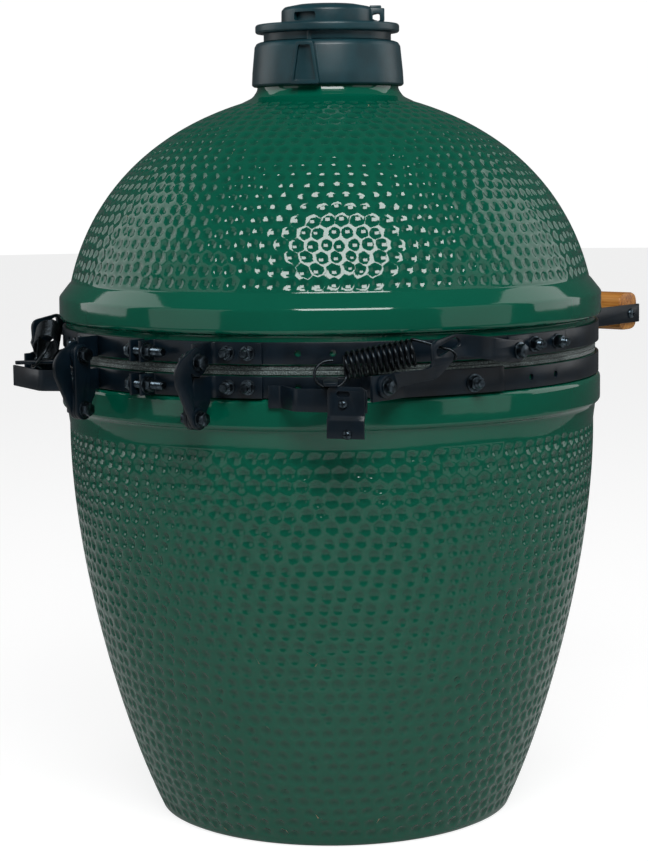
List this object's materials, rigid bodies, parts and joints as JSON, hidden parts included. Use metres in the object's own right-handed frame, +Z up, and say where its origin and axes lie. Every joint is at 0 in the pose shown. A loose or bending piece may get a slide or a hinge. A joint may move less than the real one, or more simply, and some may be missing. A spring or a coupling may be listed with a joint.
{
  "type": "kamado ceramic grill",
  "caption": "Egg-shaped ceramic charcoal grill: glazed bowl and dome, banded spring-assisted link hinge, wooden lift handle, vent cap and draft door.",
  "frame": {"origin": "middle of the flat underside of the bowl, which is the point below the ceramic's axis", "axes": "+Z up; +Y towards the hinge, -Y towards the lift handle and the draft door; +X to the right of someone who stands at the handle"},
  "size_m": [0.5938, 0.705, 0.84],
  "materials": {
    "green_glaze": "deep green glaze over round dimples, glossy",
    "felt": "speckled grey heat-proof felt",
    "black_steel": "satin black powder coat on steel strap",
    "bolt_steel": "black-plated steel bolts and nuts",
    "spring_steel": "black oiled spring wire",
    "fire_clay": "unglazed fired clay",
    "cast_iron": "cast iron with a black satin coating",
    "grid_steel": "stainless rod",
    "door_steel": "brushed stainless sheet",
    "pointer_red": "red painted pointer",
    "handle_wood": "oiled honey-coloured hardwood"
  },
  "bodies": {
    "bowl": {"bowl_shell": "green_glaze", "bowl_gasket": "felt", "lower_band": "black_steel", "lower_clamp_bolt": "bolt_steel", "lower_hinge_bracket_left": "black_steel", "lower_hinge_bracket_right": "black_steel", "lower_lever_bracket_left": "black_steel", "lower_lever_bracket_right": "black_steel", "spring_anchor_left": "black_steel", "spring_anchor_right": "black_steel", "stand_bracket_left": "black_steel", "stand_bracket_right": "black_steel", "stand_plate": "black_steel", "fire_box": "fire_clay", "fire_ring": "fire_clay", "charcoal_grate": "cast_iron", "cooking_grid": "grid_steel", "draft_frame": "door_steel", "lift_spring_left": "spring_steel", "lift_spring_right": "spring_steel"},
    "levers": {"lift_lever_left": "black_steel", "lift_lever_right": "black_steel", "lever_low_bolt_left": "bolt_steel", "lever_low_bolt_right": "bolt_steel"},
    "dome": {"dome_shell": "green_glaze", "dome_gasket": "felt", "upper_band": "black_steel", "upper_clamp_bolt": "bolt_steel", "upper_hinge_bracket_left": "black_steel", "upper_hinge_bracket_right": "black_steel", "upper_lever_bracket_left": "black_steel", "upper_lever_bracket_right": "black_steel", "lever_top_bolt_left": "bolt_steel", "lever_top_bolt_right": "bolt_steel", "handle_arm_left": "black_steel", "handle_arm_right": "black_steel", "handle_screw_left": "bolt_steel", "handle_screw_right": "bolt_steel", "handle_wood": "handle_wood", "thermometer": "door_steel", "cap_collar": "cast_iron"},
    "links": {"hinge_link_outer_left": "black_steel", "hinge_link_outer_right": "black_steel", "hinge_link_inner_left": "black_steel", "hinge_link_inner_right": "black_steel", "link_bolt_left": "bolt_steel", "link_bolt_right": "bolt_steel"},
    "cap_swing": {"cap_swing_plate": "cast_iron"},
    "cap_dial": {"cap_dial": "cast_iron"},
    "pointer": {"thermometer_pointer": "pointer_red"},
    "draft_door": {"draft_door": "door_steel"},
    "ember_screen": {"ember_screen": "door_steel"}
  },
  "joints": [
    {"name": "dome_lift", "type": "hinge", "parent": "bowl", "child": "levers", "pos_m": [0, 0.209, 0.4735], "axis": [-1, 0, 0], "range_deg": [0, 78.53], "deforming": ["lift_spring_left", "lift_spring_right"]},
    {"name": "dome_tilt", "type": "hinge", "parent": "levers", "child": "dome", "pos_m": [0, 0.07, 0.4985], "axis": [-1, 0, 0], "range_deg": [-28.6, 0]},
    {"name": "link_swing", "type": "hinge", "parent": "bowl", "child": "links", "pos_m": [0, 0.298, 0.4425], "axis": [-1, 0, 0], "range_deg": [0, 94.6]},
    {"name": "cap_swing_aside", "type": "hinge", "parent": "dome", "child": "cap_swing", "pos_m": [-0.0243, 0.0592, 0.8016], "axis": [0, 0, 1], "range_deg": [0, 100]},
    {"name": "vent_turn", "type": "hinge", "parent": "cap_swing", "child": "cap_dial", "pos_m": [0, 0, 0.8194], "axis": [0, 0, 1], "range_deg": [0, 60]},
    {"name": "gauge_pointer", "type": "hinge", "parent": "dome", "child": "pointer", "pos_m": [0, -0.2612, 0.615], "axis": [0, -0.8944, 0.4472], "range_deg": [-120, 120], "stiffness_Nm_per_rad": 0.002},
    {"name": "draft_slide", "type": "slide", "parent": "bowl", "child": "draft_door", "axis": [1, 0, 0], "range_m": [0, 0.11]},
    {"name": "screen_slide", "type": "slide", "parent": "bowl", "child": "ember_screen", "axis": [-1, 0, 0], "range_m": [0, 0.11]}
  ],
  "couplings": [
    {"joint": "dome_tilt", "follows": "dome_lift", "ratio": -0.36329},
    {"joint": "link_swing", "follows": "dome_lift", "ratio": 1.2034}
  ]
}
